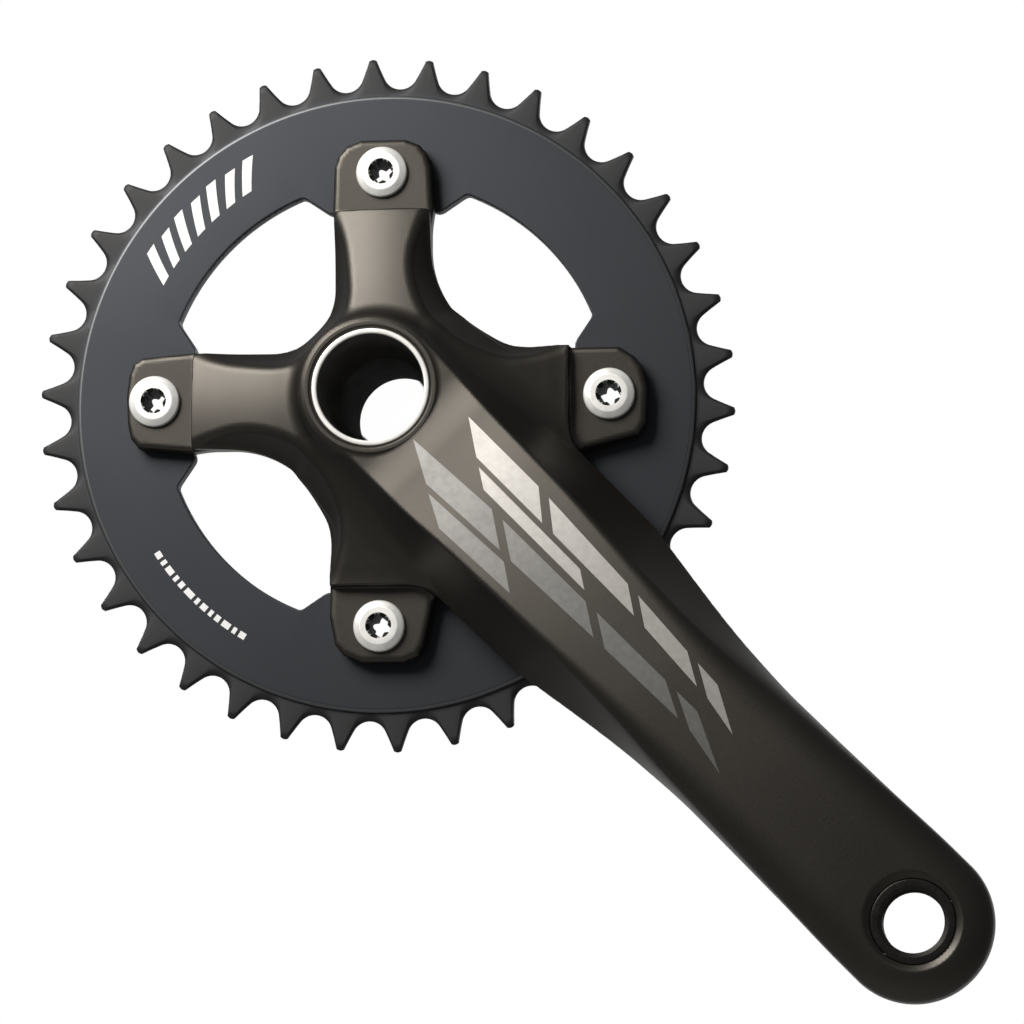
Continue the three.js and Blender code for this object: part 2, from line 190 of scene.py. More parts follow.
def smin(a, b, k):
    h = np.clip(0.5 + 0.5 * (b - a) / k, 0, 1)
    return b + (a - b) * h - k * h * (1 - h)

def smax(a, b, k):
    return -smin(-a, -b, k)

def interp(x, xs, ys):
    """Smooth interpolation through knots that never overshoots them."""
    xs = np.asarray(xs, float); ys = np.asarray(ys, float)
    hs = np.diff(xs); dl = np.diff(ys) / hs
    m = np.zeros(len(xs))
    for k in range(1, len(xs) - 1):
        if dl[k - 1] * dl[k] > 0:
            w1, w2 = 2 * hs[k] + hs[k - 1], hs[k] + 2 * hs[k - 1]
            m[k] = (w1 + w2) / (w1 / dl[k - 1] + w2 / dl[k])
    m[0], m[-1] = dl[0], dl[-1]
    if len(xs) > 2 and dl[0] * dl[1] <= 0: m[0] = 0
    if len(xs) > 2 and dl[-1] * dl[-2] <= 0: m[-1] = 0
    i = np.clip(np.searchsorted(xs, x) - 1, 0, len(xs) - 2)
    x0, x1, y0, y1 = xs[i], xs[i + 1], ys[i], ys[i + 1]
    h = x1 - x0
    t = np.clip((x - x0) / h, 0, 1)
    t2, t3 = t * t, t * t * t
    return (2 * t3 - 3 * t2 + 1) * y0 + (t3 - 2 * t2 + t) * h * m[i] + (-2 * t3 + 3 * t2) * y1 + (t3 - t2) * h * m[i + 1]

def poly_dist(px, pz, poly):
    """Signed distance to a closed polygon, negative inside."""
    d = np.full(px.shape, 1e9); s = np.ones(px.shape)
    n = len(poly)
    for i in range(n):
        ax, az = poly[i]; bx, bz = poly[i - 1]
        ex, ez = bx - ax, bz - az
        wx, wz = px - ax, pz - az
        t = np.clip((wx * ex + wz * ez) / (ex * ex + ez * ez), 0, 1)
        d = np.minimum(d, (wx - ex * t) ** 2 + (wz - ez * t) ** 2)
        c1, c2, c3 = pz >= az, pz < bz, ex * wz > ez * wx
        flip = (c1 & c2 & c3) | (~c1 & ~c2 & ~c3)
        s = np.where(flip, -s, s)
    return s * np.sqrt(d)

# bolt tab outlines as (distance along the spider arm, distance across it)
TABS = {
    "top": [(36, 10.4), (43, 11.4), (53.4, 11.1), (56.1, 10.3), (58.4, 8.3), (59.7, 5.0), (59.7, -5.3), (58.4, -8.5), (56.1, -10.3), (52.9, -11.2), (43, -11.8), (36, -10.4)],
    "rear": [(36, 10.4), (43.2, 11.3), (55.0, 10.3), (57.2, 9.0), (58.2, 6.2), (58.7, 1.7), (58.4, -5.1), (57.6, -8.4), (55.8, -10.5), (43, -11.7), (36, -10.4)],
    "bottom": [(38, 12.4), (44, 12.3), (48.3, 11.9), (56.0, 10.2), (58.7, 8.8), (60.1, 5.5), (60.1, -4.1), (58.2, -8.4), (56.1, -10.2), (49.8, -11.5), (43.4, -11.4), (36, -10.4)],
    "front": [(38, 11.8), (43.8, 12.0), (47.2, 12.2), (58.6, 9.2), (60.2, 6.4), (60.6, -1.3), (59.4, -6.2), (57.7, -8.6), (54.2, -10.9), (43.6, -10.9), (36, -10.2)],
}

def arm_field(x, y, z):
    h = -y
    u = CU * x + SU * z
    v = -SU * x + CU * z
    r = np.sqrt(x * x + z * z)
    # ---- lever
    top = interp(u, [-30, 0, 11, 22, 40, 60, 80, 110, 150, 172, 190], [72.8, 72.9, 73.0, 74.5, 77.3, 79.9, 81.9, 84.1, 85.7, 86.0, 86.1])
    bot = interp(u, [-30, 36, 52, 84, 128, 152, 190], [52.3, 52.3, 55.4, 57.0, 66.6, 72.6, 73.0])
    wl = interp(u, [-20, 0, 10, 26, 46, 70, 94, 107, 133, 160, 175], [16.6, 16.2, 15.6, 14.7, 14.2, 12.8, 11.3, 10.9, 11.9, 13.4, 13.6])
    wr = interp(u, [-20, 0, 9, 23, 40, 68, 90, 104, 133, 160, 175], [16.6, 15.6, 14.6, 14.6, 13.9, 13.3, 13.0, 13.1, 13.0, 13.4, 13.6])
    wt = np.where(v > 0, wl, wr)
    wb = interp(u, [-20, 0, 9, 20, 30, 41, 66, 72, 83, 102, 118, 145, 165, 175], [24.0, 24.9, 26.2, 25.3, 23.7, 22.8, 22.3, 21.5, 19.9, 17.7, 16.8, 17.0, 17.5, 17.5])
    foot = bot + interp(u, [-20, 0, 12, 34, 46, 60, 90], [3.6, 4.2, 6.0, 7.2, 5.6, 4.0, 3.0])
    hh = np.clip((top - h) / np.maximum(top - foot, 1), 0, 1)           # 0 at the top face, 1 at the foot of the flank
    low = interp(u, [-20, 60, 90, 120, 150], [0.0, 0.0, 0.25, 0.9, 1.0])
    flank_hi = hh ** 1.25                                # steep concave flank near the hub
    flank_lo = np.sqrt(np.clip(1 - (1 - hh) ** 2.2, 0, 1))   # rounded side further out
    w = wt + (wb - wt) * (flank_hi * (1 - low) + flank_lo * low)
    w = w - np.clip(foot - h, 0, None) * interp(u, [-20, 30, 44, 60, 190], [0.0, 0.0, 0.35, 0.45, 0.45])   # forging draft below the widest line
    av = np.where(u > 170.0, np.hypot(u - 170.0, v), np.abs(v))           # round end about the pedal axis
    dv = (av - w) * (0.86 - 0.1 * low)
    crown = 0.0028 * v * v * low
    dt = h - (top - crown)
    kc = interp(u, [-20, 20, 60, 90, 120, 150], [0.7, 0.7, 1.2, 2.6, 4.2, 5.0])
    lev = smax(dv, dt, kc)
    lev = smax(lev, bot - h, interp(u, [-20, 40, 60, 150], [0.8, 0.8, 4.0, 5.0]))
    lev = smax(lev, -u - 1.0, 3.0)
    # ---- pedal eye
    qx, qz = x - PX, z - PZ
    rq = np.sqrt(qx * qx + qz * qz)
    # ---- hub with its sloping skirt
    rh = interp(h, [50, 57, 62, 67, 72, 74], [20.6, 20.4, 19.0, 17.6, 16.7, 16.4])
    hub = smax((r - rh) * 0.95, h - 73.3, 2.4)
    hub = smax(hub, 52.3 - h, 0.8)
    # ---- spider outline with concave fillets between its arms
    ax, az = np.abs(x), np.abs(z)
    ul = (x < 0) & (z > 0)
    B = np.where(ul, 10.8, 11.2)
    R = np.where(ul, 14.5, 23.5)
    a, b = ax - B, az - B
    web2 = np.where((a < R) & (b < R), R - np.sqrt(np.clip(R - a, 0, None) ** 2 + np.clip(R - b, 0, None) ** 2), np.minimum(a, b))
    # ---- spider arms: flanks that climb from the outline to a flat ridge
    s = np.maximum(ax, az)
    ridge_h = interp(s, [10, 18, 24, 31, 38, 43, 50], [67.8, 66.4, 64.7, 62.9, 61.2, 60.2, 59.8])
    edge_h = interp(s, [14, 26, 33, 39, 43.4], [55.4, 55.5, 56.1, 57.9, 59.6])
    climb = np.clip((h - edge_h + 0.25) / 0.85, 0, None) ** (2 / 3) - 0.4424
    climb = np.where(h < edge_h, 0.0, climb)
    t = np.minimum(ax, az)
    tilt = 0.05 * (np.clip((z - ax) / 8, 0, 1) * x - np.clip((-x - az) / 8, 0, 1) * z)
    spider = smax((web2 + climb) * 0.8, (h - ridge_h - tilt - 0.15 + 0.007 * t * t) * 0.95, 1.5)
    spider = smax(spider, s - 43.0, 0.5)
    # ---- bolt tabs
    tabs = np.full(x.shape, 1e9)
    for sx, tz, key in ((z, -x, "top"), (-x, z, "rear"), (-z, x, "bottom"), (x, -z, "front")):
        near = (sx > 30) & (np.abs(tz) < 25)
        if near.any():
            d = np.full(x.shape, 1e9)
            d[near] = poly_dist(sx[near], tz[near], TABS[key])
            tabs = np.minimum(tabs, np.where(near, d, np.maximum(38 - sx, np.abs(tz) - 12)))
        else:
            tabs = np.minimum(tabs, np.maximum(38 - sx, np.abs(tz) - 12))
    tab = smax(tabs, h - 57.0, 1.5)
    spider = smin(spider, tab, 0.5)
    spider = smax(spider, 52.3 - h, 0.7)
    # ---- hub inner boss beside the bearing
    back = smax(r - 16.4, 50.6 - h, 0.8)
    back = smax(back, h - 60, 0.8)
    body = smin(hub, spider, 2.6)
    body = smin(body, lev, interp(h, [50, 66, 72, 90], [3.2, 3.2, 0.25, 0.25]))   # the two top faces meet without a swelling
    body = smin(body, back, 1.5)
    # ---- holes
    body = smax(body, 14.35 - r, 0.1)                                     # the hub's rim ring stands in this hole
    body = smax(body, 9.22 - rq, 0.2)
    body = smax(body, ((h - 84.95) - 0.62 * (rq - 9.5)) * 0.85, 0.25)      # conical recess round the insert
    for a in SEATS.values():
        bx, bz = BCD_R * math.cos(math.radians(a)), BCD_R * math.sin(math.radians(a))
        body = smax(body, 5.05 - np.sqrt((x - bx) ** 2 + (z - bz) ** 2), 0.2)
    return body

def dual_contour(f, lo, hi, step, coarse=6, lip=1.35):
    """Surface of f = 0 as quads whose points sit on edges and creases."""
    lo = np.array(lo, float); n = np.ceil((np.array(hi) - lo) / step).astype(int)
    n = ((n + coarse - 1) // coarse) * coarse
    nb = n // coarse
    F = np.full(tuple(n + 1), 9.0, np.float32)
    cs = coarse * step
    g = [lo[d] + (np.arange(nb[d]) + 0.5) * cs for d in range(3)]
    C = np.stack(np.meshgrid(*g, indexing="ij"), -1).reshape(-1, 3)
    val = f(C[:, 0], C[:, 1], C[:, 2])
    reach = cs * 0.87 * lip + 1.2
    near = np.abs(val) < reach
    bi = np.stack(np.unravel_index(np.arange(len(C)), tuple(nb)), -1)
    inside = np.nonzero((~near) & (val < 0))[0]
    for k in inside:
        i, j, l = bi[k] * coarse
        F[i:i + coarse + 1, j:j + coarse + 1, l:l + coarse + 1] = -9.0
    o = np.arange(coarse + 1)
    off = np.stack(np.meshgrid(o, o, o, indexing="ij"), -1).reshape(-1, 3)
    nk = np.nonzero(near)[0]
    for c0 in range(0, len(nk), 2000):
        ks = nk[c0:c0 + 2000]
        I = (bi[ks][:, None, :] * coarse + off[None]).reshape(-1, 3)
        Pt = lo + I * step
        F[I[:, 0], I[:, 1], I[:, 2]] = f(Pt[:, 0], Pt[:, 1], Pt[:, 2])
    F[np.abs(F) < 1e-5] = 1e-5
    S = F < 0
    quads, cells_all, A_all, b_all, p_all = [], [], [], [], []
    strides = np.array([n[1] * n[2], n[2], 1], np.int64)
    edges = []
    for d in range(3):
        sl0 = [slice(None)] * 3; sl1 = [slice(None)] * 3
        sl0[d] = slice(0, -1); sl1[d] = slice(1, None)
        X = np.stack(np.nonzero(S[tuple(sl0)] != S[tuple(sl1)]), -1)
        o1, o2 = [k for k in range(3) if k != d]
        ok = (X[:, o1] > 0) & (X[:, o1] < n[o1]) & (X[:, o2] > 0) & (X[:, o2] < n[o2])
        X = X[ok]
        e = np.zeros(3, int); e[d] = 1
        p0 = lo + X * step; p1 = lo + (X + e) * step
        f0 = F[X[:, 0], X[:, 1], X[:, 2]].astype(float)
        Y = X + e
        f1 = F[Y[:, 0], Y[:, 1], Y[:, 2]].astype(float)
        t0, t1 = np.zeros(len(X)), np.ones(len(X))
        for it in range(5):
            t = np.clip((t0 * f1 - t1 * f0) / (f1 - f0), t0 + (t1 - t0) * 0.05, t1 - (t1 - t0) * 0.05)
            p = p0 + (p1 - p0) * t[:, None]
            ft = f(p[:, 0], p[:, 1], p[:, 2])
            same = (ft < 0) == (f0 < 0)
            t0 = np.where(same, t, t0); f0 = np.where(same, ft, f0)
            t1 = np.where(same, t1, t); f1 = np.where(same, f1, ft)
        t = (t0 * f1 - t1 * f0) / (f1 - f0)
        p = p0 + (p1 - p0) * t[:, None]
        N = grad(f, p)
        a, b2 = (o1, o2) if (d != 1) else (o2, o1)
        ea = np.zeros(3, int); ea[a] = 1
        eb = np.zeros(3, int); eb[b2] = 1
        c = [X, X - ea, X - ea - eb, X - eb]
        ids = np.stack([(q * strides).sum(1) for q in c], 1)
        flip = ~S[X[:, 0], X[:, 1], X[:, 2]]
        ids_q = ids.copy(); ids_q[flip] = ids_q[flip][:, ::-1]
        quads.append(ids_q)
        for k in range(4):
            cells_all.append(ids[:, k]); p_all.append(p); A_all.append(N)
    cells = np.concatenate(cells_all); Pp = np.concatenate(p_all); Nn = np.concatenate(A_all)
    uniq, inv = np.unique(cells, return_inverse=True)
    m = len(uniq)
    cnt = np.bincount(inv, minlength=m).astype(float)
    mass = np.stack([np.bincount(inv, Pp[:, k], m) for k in range(3)], 1) / cnt[:, None]
    rel = Pp - mass[inv]
    bb = (Nn * rel).sum(1)
    AtA = np.zeros((m, 3, 3)); Atb = np.zeros((m, 3))
    for i in range(3):
        Atb[:, i] = np.bincount(inv, Nn[:, i] * bb, m)
        for j in range(i, 3):
            AtA[:, i, j] = AtA[:, j, i] = np.bincount(inv, Nn[:, i] * Nn[:, j], m)
    AtA += np.eye(3)[None] * (0.012 * cnt)[:, None, None]
    sol = np.linalg.solve(AtA, Atb[..., None])[..., 0]
    V = mass + sol
    ci = np.stack(np.unravel_index(uniq, tuple(n)), -1)
    clo = lo + ci * step
    V = np.clip(V, clo + 0.02 * step, clo + 0.98 * step)
    Q = np.concatenate(quads)
    Q = np.searchsorted(uniq, Q)
    return V, Q

def grad(f, p, e=0.02):
    g = np.empty_like(p)
    for k in range(3):
        a = p.copy(); b = p.copy()
        a[:, k] += e; b[:, k] -= e
        g[:, k] = f(a[:, 0], a[:, 1], a[:, 2]) - f(b[:, 0], b[:, 1], b[:, 2])
    return g / np.maximum(np.linalg.norm(g, axis=1, keepdims=True), 1e-9)

def field_mesh(name, f, lo, hi, step, nudge=0.3, smooth=30):
    V, Q = dual_contour(f, lo, hi, step)
    me = bpy.data.meshes.new(name)
    me.vertices.add(len(V)); me.vertices.foreach_set("co", (V * MM).astype(np.float32).ravel())
    me.loops.add(len(Q) * 4); me.loops.foreach_set("vertex_index", Q.astype(np.int32).ravel())
    me.polygons.add(len(Q)); me.polygons.foreach_set("loop_start", np.arange(len(Q), dtype=np.int32) * 4)
    me.update(calc_edges=True)
    ob = bpy.data.objects.new(name, me)
    bpy.context.scene.collection.objects.link(ob)
    me.polygons.foreach_set("use_smooth", [True] * len(Q))
    # normals taken from the field itself, a little inside each face, so creases stay crisp
    cen = V[Q].mean(1)
    pts = (V[Q] * (1 - nudge) + cen[:, None, :] * nudge).reshape(-1, 3)
    Nl = grad(f, pts, 0.05)
    A = V[Q]
    Fn = np.cross(A[:, 2] - A[:, 0], A[:, 3] - A[:, 1])
    Fn /= np.maximum(np.linalg.norm(Fn, axis=1, keepdims=True), 1e-12)
    if np.mean((Fn * Nl.reshape(-1, 4, 3).mean(1)).sum(1)) < 0:
        Fn = -Fn
    Fn = np.repeat(Fn, 4, axis=0)
    bad = (Fn * Nl).sum(1) < 0.80          # a corner that reads the far side of a crease takes its face's own normal
    Nl[bad] = Fn[bad]
    me.normals_split_custom_set(Nl.tolist())
    return ob

STEP = 0.7
arm = field_mesh("forged_crank_arm", arm_field, (-62.5, -87.2, -140.0), (140.0, -49.6, 62.5), STEP)
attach(arm, "crank"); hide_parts("crank_arm")
rim = lathe("hub_rim_ring", [(13.36, -69.5, 0), (13.36, -72.75, 0.15), (13.95, -73.41, 0.3), (14.8, -73.41, 0.1), (15.3, -73.2, 0.05), (15.3, -73.0, 0.05), (15.15, -69.5, 0)], 160)
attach(rim, "crank")

# ---------------------------------------------------------------- chainring
def tooth_profile(n_side=16):
    """Half tooth, from the gap centre to the tooth centre, as (angle from gap centre, radius)."""
    g = math.pi / TEETH
    ri = 4.0
    pts = []
    for k in range(n_side):                   # seating arc, from the bottom round to 62 degrees up the side
        phi = math.radians(62) * k / (n_side - 1)
        x = RP - ri * math.cos(phi); y = ri * math.sin(phi)
        pts.append((math.atan2(y, x), math.hypot(x, y)))
    # flank: a convex curve that starts on the arc's tangent and leans to a narrow tip
    phi = math.radians(62)
    x0, y0 = RP - ri * math.cos(phi), ri * math.sin(phi)
    tx, ty = math.sin(phi), math.cos(phi)
    tipw = 0.85
    ux, uy = math.cos(g), math.sin(g)
    x3, y3 = TIP_R * ux + tipw * uy, TIP_R * uy - tipw * ux
    c1 = (x0 + tx * 2.6, y0 + ty * 2.6)
    c2 = (x3 - (ux * 0.93 - uy * 0.36) * 1.6, y3 - (uy * 0.93 + ux * 0.36) * 1.6)
    for k in range(1, 11):
        s = k / 10
        bx = (1 - s) ** 3 * x0 + 3 * s * (1 - s) ** 2 * c1[0] + 3 * s * s * (1 - s) * c2[0] + s ** 3 * x3
        by = (1 - s) ** 3 * y0 + 3 * s * (1 - s) ** 2 * c1[1] + 3 * s * s * (1 - s) * c2[1] + s ** 3 * y3
        pts.append((math.atan2(by, bx), math.hypot(bx, by)))
    # rounded tip
    for k in (1, 2, 3):
        w = tipw * (1 - k / 3.0)
        rr = TIP_R + 0.28 * math.sin(math.pi / 2 * k / 3.0)
        pts.append((g - math.atan2(w, rr), rr))
    return pts

def ring_rows():
    half = tooth_profile()
    g = math.pi / TEETH
    th, rho = [], []
    for i in range(TEETH):
        c = i * 2 * g + PHASE + g             # gap centre after tooth i
        for a, r in half:
            th.append(c + a); rho.append(r)
        for a, r in half[-2:0:-1]:
            th.append(c + 2 * g - a); rho.append(r)
    return np.array(th), np.array(rho)

def inner_radius(th):
    """Inner edge of the ring body: wide tabs at the four bolts, straight shoulders, rounded corners."""
    a = (np.degrees(th) + 45) % 90 - 45
    a = np.abs(a)
    r_tab, r_arc = 45.2, 51.2
    e0, e1 = 16.2, 21.6
    p0 = np.array([r_tab * math.cos(math.radians(e0)), r_tab * math.sin(math.radians(e0))])
    p1 = np.array([r_arc * math.cos(math.radians(e1)), r_arc * math.sin(math.radians(e1))])
    d = p1 - p0
    A = np.radians(a)
    # ray (cos A, sin A) * r meets the line p0 + t d
    den = np.cos(A) * d[1] - np.sin(A) * d[0]
    line = (p0[0] * d[1] - p0[1] * d[0]) / np.where(np.abs(den) < 1e-6, 1e-6, den)
    line = np.where((a > 6) & (a < 34), line, np.where(a <= 6, 0, 99))
    r = np.minimum(line, r_arc)
    k = 1.1
    h = np.clip(0.5 + 0.5 * (line - r_arc) / k, 0, 1)
    r = line + (r_arc - line) * h - k * h * (1 - h)
    h = np.clip(0.5 + 0.5 * (r - r_tab) / k, 0, 1)
    return r_tab + (r - r_tab) * h + k * h * (1 - h)

def build_chainring():
    th, rho = ring_rows()
    o = np.argsort(th); th, rho = th[o], rho[o]
    N = len(th)
    rin = inner_radius(th)
    F, Bk = -52.0, -48.0
    fr = np.full(N, 1.0)
    rows = []
    add = lambda r, y: rows.append((np.asarray(r, float) * fr, y * fr if np.ndim(y) == 0 else y))
    add(rin + 0.45, F); add(rin + 0.13, F + 0.13); add(rin, F + 0.45); add(rin, Bk - 0.45); add(rin + 0.13, Bk - 0.13); add(rin + 0.45, Bk)
    add(60.0 * fr, Bk); add(70.2 * fr, Bk); add(70.4 * fr, Bk - 0.08); add(70.85 * fr, Bk - 0.55); add(71.0 * fr, -48.9)
    add(71.2 * fr, -48.97)
    add(np.maximum(rho - 1.9, 71.3), -48.98); add(np.maximum(rho - 1.1, 71.5), -49.1); add(np.maximum(rho - 0.45, 71.9), -49.38); add(np.maximum(rho - 0.12, 72.2), -49.62); add(rho, -49.85)
    add(rho, -50.15); add(np.maximum(rho - 0.12, 72.2), -50.38); add(np.maximum(rho - 0.45, 71.9), -50.62); add(np.maximum(rho - 1.1, 71.5), -50.9); add(np.maximum(rho - 1.9, 71.3), -51.02)
    add(71.2 * fr, -51.03); add(71.08 * fr, -51.1); add(71.0 * fr, -51.6); add(70.9 * fr, -51.72); add(70.3 * fr, F); add(70.0 * fr, F); add(60.0 * fr, F)
    c, s = np.cos(th), np.sin(th)
    verts = np.concatenate([np.stack([r * c, y, r * s], 1) for r, y in rows])
    M = len(rows)
    faces = []
    for i in range(M):
        j = (i + 1) % M
        for k in range(N):
            k2 = (k + 1) % N
            faces.append((i * N + k, j * N + k, j * N + k2, i * N + k2))
    ob = link("chainring_38", verts, faces, 28)
    for a in SEATS.values():
        x, z = BCD_R * math.cos(math.radians(a)), BCD_R * math.sin(math.radians(a))
        cut = lathe("cut", [(0, -54, 0), (5.06, -54, 0), (5.06, -49.2, 0), (6.8, -49.2, 0), (6.8, -48.35, 0), (7.2, -47.9, 0), (7.2, -46, 0), (0, -46, 0)], 72, True, (x, z))
        boolean(ob, cut)
    shade(ob, 28)
    weigh(ob)
    return ob

chainring = build_chainring()
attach(chainring, "crank"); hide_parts("chainring")

# ---------------------------------------------------------------- bolts and sleeve nuts
def lobe_outline(R, r, n=6, per=10):
    """Six-lobe socket outline."""
    pts = []
    for i in range(n * per * 2):
        t = i / (n * per * 2) * 2 * math.pi
        w = 0.5 + 0.5 * math.cos(n * t)
        w = w ** 1.0
        pts.append(((r + (R - r) * w) * math.cos(t), (r + (R - r) * w) * math.sin(t)))
    return pts

bolts = []
for name, a in SEATS.items():
    x, z = BCD_R * math.cos(math.radians(a)), BCD_R * math.sin(math.radians(a))
    b = lathe(f"bolt_{name}", [(0, -59.0, 0), (4.3, -59.0, 0.9), (5.85, -58.2, 0.75), (5.85, -57.02, 0.2), (4.0, -57.02, 0.1), (4.0, -49.0, 0.4), (0, -48.6, 0)], 96, True, (x, z))
    ang = math.radians({"top": 8, "rear": 20, "bottom": 38, "front": 47}[name])
    hole = [(px * math.cos(ang) - pz * math.sin(ang), px * math.sin(ang) + pz * math.cos(ang)) for px, pz in lobe_outline(2.82, 2.0)]
    boolean(b, prism("cut", hole, -60, -47, (x, z)))
    cham = lathe("cut", [(0, -60, 0), (3.9, -60, 0), (2.1, -58.1, 0), (0, -58.1, 0)], 72, True, (x, z))
    boolean(b, cham)
    shade(b, 30)
    weigh(b)
    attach(b, "crank"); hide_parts(f"chainring_bolt_{name}")
    bolts.append(b)
    n = lathe(f"sleeve_nut_{name}", [(4.02, -56.4, 0.2), (5.0, -56.4, 0.3), (5.0, -49.17, 0.15), (6.55, -49.17, 0.2), (6.55, -47.9, 0.5), (4.02, -47.9, 0.5)], 96, True, (x, z))
    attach(n, "crank"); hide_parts(f"chainring_nut_{name}")
    bolts.append(n)

# ---------------------------------------------------------------- spindle
SPL = 16
def build_spindle():
    prof = [(12.1, -73.05, 0.35), (13.32, -73.05, 0.35), (13.32, -53.0, 0.4), (12.0, -51.2, 0.6), (12.0, 47.9, 0.5), (11.15, 49.0, 0.5), (11.15, 65.3, 0.3), (10.7, 66.0, 0.2),
            (10.3, 66.0, 0.2), (10.3, -21.0, 0), (10.3, -49.8, 0.8), (11.9, -55.2, 0.8)]
    P = rounded(prof, True, 5)
    seg = SPL * 12
    ang = np.linspace(0, 2 * np.pi, seg, endpoint=False)
    ph = (ang * SPL / (2 * np.pi)) % 1.0
    lift = np.clip((0.5 - np.abs(ph - 0.5)) / 0.5 * 3.2 - 0.9, 0, 1) * 0.78     # trapezoid teeth
    verts, faces = [], []
    rows = []
    for r, y in P:
        rows.append((r, y, 0.0))
    # spline teeth stand on the reduced end: add rows there
    out = []
    for i, (r, y, l) in enumerate(rows):
        out.append((r, y, l))
        if abs(r - 11.15) < 0.02 and abs(y - 49.3) < 0.4 and not any(q[2] for q in out):
            out += [(11.15, 49.7, 0.0), (11.15, 50.3, 1.0), (11.15, 64.3, 1.0), (11.15, 64.9, 0.0)]
    seen, rows = set(), []
    for q in out:
        rows.append(q)
    rows2 = []
    last = None
    for q in rows:
        if last is None or abs(q[0] - last[0]) + abs(q[1] - last[1]) + abs(q[2] - last[2]) > 1e-4:
            rows2.append(q)
        last = q
    M = len(rows2)
    for r, y, l in rows2:
        rr = r + lift * l
        for k in range(seg):
            verts.append((rr[k] * math.cos(ang[k]), y, rr[k] * math.sin(ang[k])))
    for i in range(M):
        j = (i + 1) % M
        for k in range(seg):
            k2 = (k + 1) % seg
            faces.append((i * seg + k, j * seg + k, j * seg + k2, i * seg + k2))
    return link("hollow_spindle", verts, faces, 30)
spindle = build_spindle()
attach(spindle, "crank"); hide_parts("spindle")

# ---------------------------------------------------------------- pedal thread insert
ins = [(7.7, -84.98, 0.25), (9.2, -84.98, 0.35), (9.2, -73.25, 0.3), (7.4, -73.25, 0.3)]
yy = -73.9
while yy > -84.2:                       # thread crests and roots, 20 turns to the inch
    ins += [(7.2, yy, 0.0), (6.75, yy - 0.635, 0.0)]
    yy -= 1.27
insert = lathe("pedal_insert", ins, 120, True, (PX, PZ), 50)
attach(insert, "crank"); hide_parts("pedal_thread_insert")

# ---------------------------------------------------------------- bottom bracket
def ysign(prof, side, shift=0.0):
    return [(r, side * y, f) for r, y, f in prof]

LF, RF_ = 36.6, 39.2
def cup_mesh(name, side, f):
    o = f + 10.5
    th = []
    y = f - 10.6
    while y < f - 1.6:
        th += [(17.35, y, 0.0), (16.95, y + 0.5, 0.0)]
        y += 1.0
    prof = [(15.7, f - 11.0, 0.3), (16.9, f - 11.0, 0.3)] + th + [(16.9, f - 0.9, 0.1), (16.9, f, 0.1), (20.5, f, 0.3), (20.5, o, 0.9), (18.5, o, 0.25), (18.5, o - 7.5, 0.3), (15.7, o - 7.5, 0.3)]
    ob = lathe(name, ysign(prof, side), 192, True, (0, 0), 32)
    bm = bmesh.new()
    for i in range(16):
        a = math.radians(i * 22.5 + 11.25)
        res = bmesh.ops.create_cube(bm, size=1.0)
        M = Matrix.Rotation(-a, 4, "Y") @ Matrix.Translation((0.0209, side * (f + 2.2 + 6) * 0.001, 0)) @ Matrix.Diagonal((0.0032, 0.012, 0.0036, 1))
        bmesh.ops.transform(bm, matrix=M, verts=res["verts"])
    bmesh.ops.bevel(bm, geom=bm.edges[:], offset=0.0005, segments=3, affect="EDGES")
    me = bpy.data.meshes.new("cut"); bm.to_mesh(me); bm.free()
    cut = bpy.data.objects.new("cut", me); bpy.context.scene.collection.objects.link(cut)
    boolean(ob, cut)
    shade(ob, 30)
    return ob

